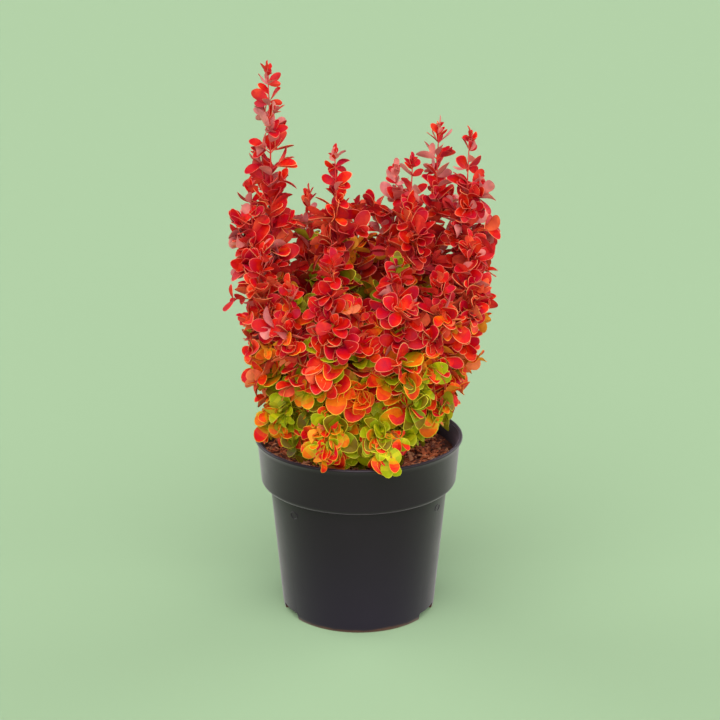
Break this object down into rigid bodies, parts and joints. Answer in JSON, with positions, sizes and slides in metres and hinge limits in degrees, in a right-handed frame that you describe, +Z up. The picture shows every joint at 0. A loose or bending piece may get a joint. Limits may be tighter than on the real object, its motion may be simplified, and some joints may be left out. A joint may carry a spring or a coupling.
{
  "type": "potted japanese barberry shrub",
  "caption": "Small upright barberry shrub with red and amber leaves, in a round black nursery pot that stands on its flat underside.",
  "frame": {"origin": "on the pot's axis, at the middle of its flat underside", "axes": "+Z up along the pot's axis, -Y towards the plant's front, +X to the right seen from the front"},
  "size_m": [0.2422, 0.2243, 0.5068],
  "materials": {
    "pot_plastic": "matte charcoal moulded plastic",
    "bark_mulch": "damp shredded reddish-brown bark",
    "bark": "grey-brown ridged bark",
    "foliage_red": "satin crimson leaves with thin cream edges",
    "foliage_amber": "satin orange and lime leaves with yellow edges"
  },
  "bodies": {
    "root": {"foliage_back_left": "foliage_red", "foliage_back_middle": "foliage_red", "foliage_back_right": "foliage_red", "foliage_far_right": "foliage_red", "foliage_front_left": "foliage_red", "foliage_front_middle": "foliage_red", "foliage_front_right": "foliage_red", "foliage_inner_left": "foliage_red", "foliage_inner_right": "foliage_red", "foliage_low_01": "foliage_amber", "foliage_low_02": "foliage_amber", "foliage_low_03": "foliage_amber", "foliage_low_04": "foliage_amber", "foliage_low_05": "foliage_amber", "foliage_low_06": "foliage_amber", "foliage_low_07": "foliage_amber", "foliage_low_08": "foliage_amber", "foliage_middle": "foliage_red", "foliage_outer_left": "foliage_red", "foliage_outer_right": "foliage_red", "foliage_shoulder_back_left": "foliage_red", "foliage_shoulder_back_right": "foliage_red", "foliage_shoulder_left": "foliage_red", "foliage_shoulder_right": "foliage_red", "foliage_side_left": "foliage_red", "foliage_side_right": "foliage_red", "foliage_tall_left": "foliage_red", "foliage_tall_right": "foliage_red", "pot": "pot_plastic", "soil": "bark_mulch", "stem_back": "bark", "stem_back_left": "bark", "stem_back_right": "bark", "stem_front": "bark", "stem_front_left": "bark", "stem_front_right": "bark", "stem_inner_left": "bark", "stem_inner_right": "bark", "stem_middle": "bark", "stem_outer_left": "bark", "stem_outer_right": "bark", "stem_tall_left": "bark", "stem_tall_right": "bark", "trunk": "bark"}
  },
  "joints": []
}
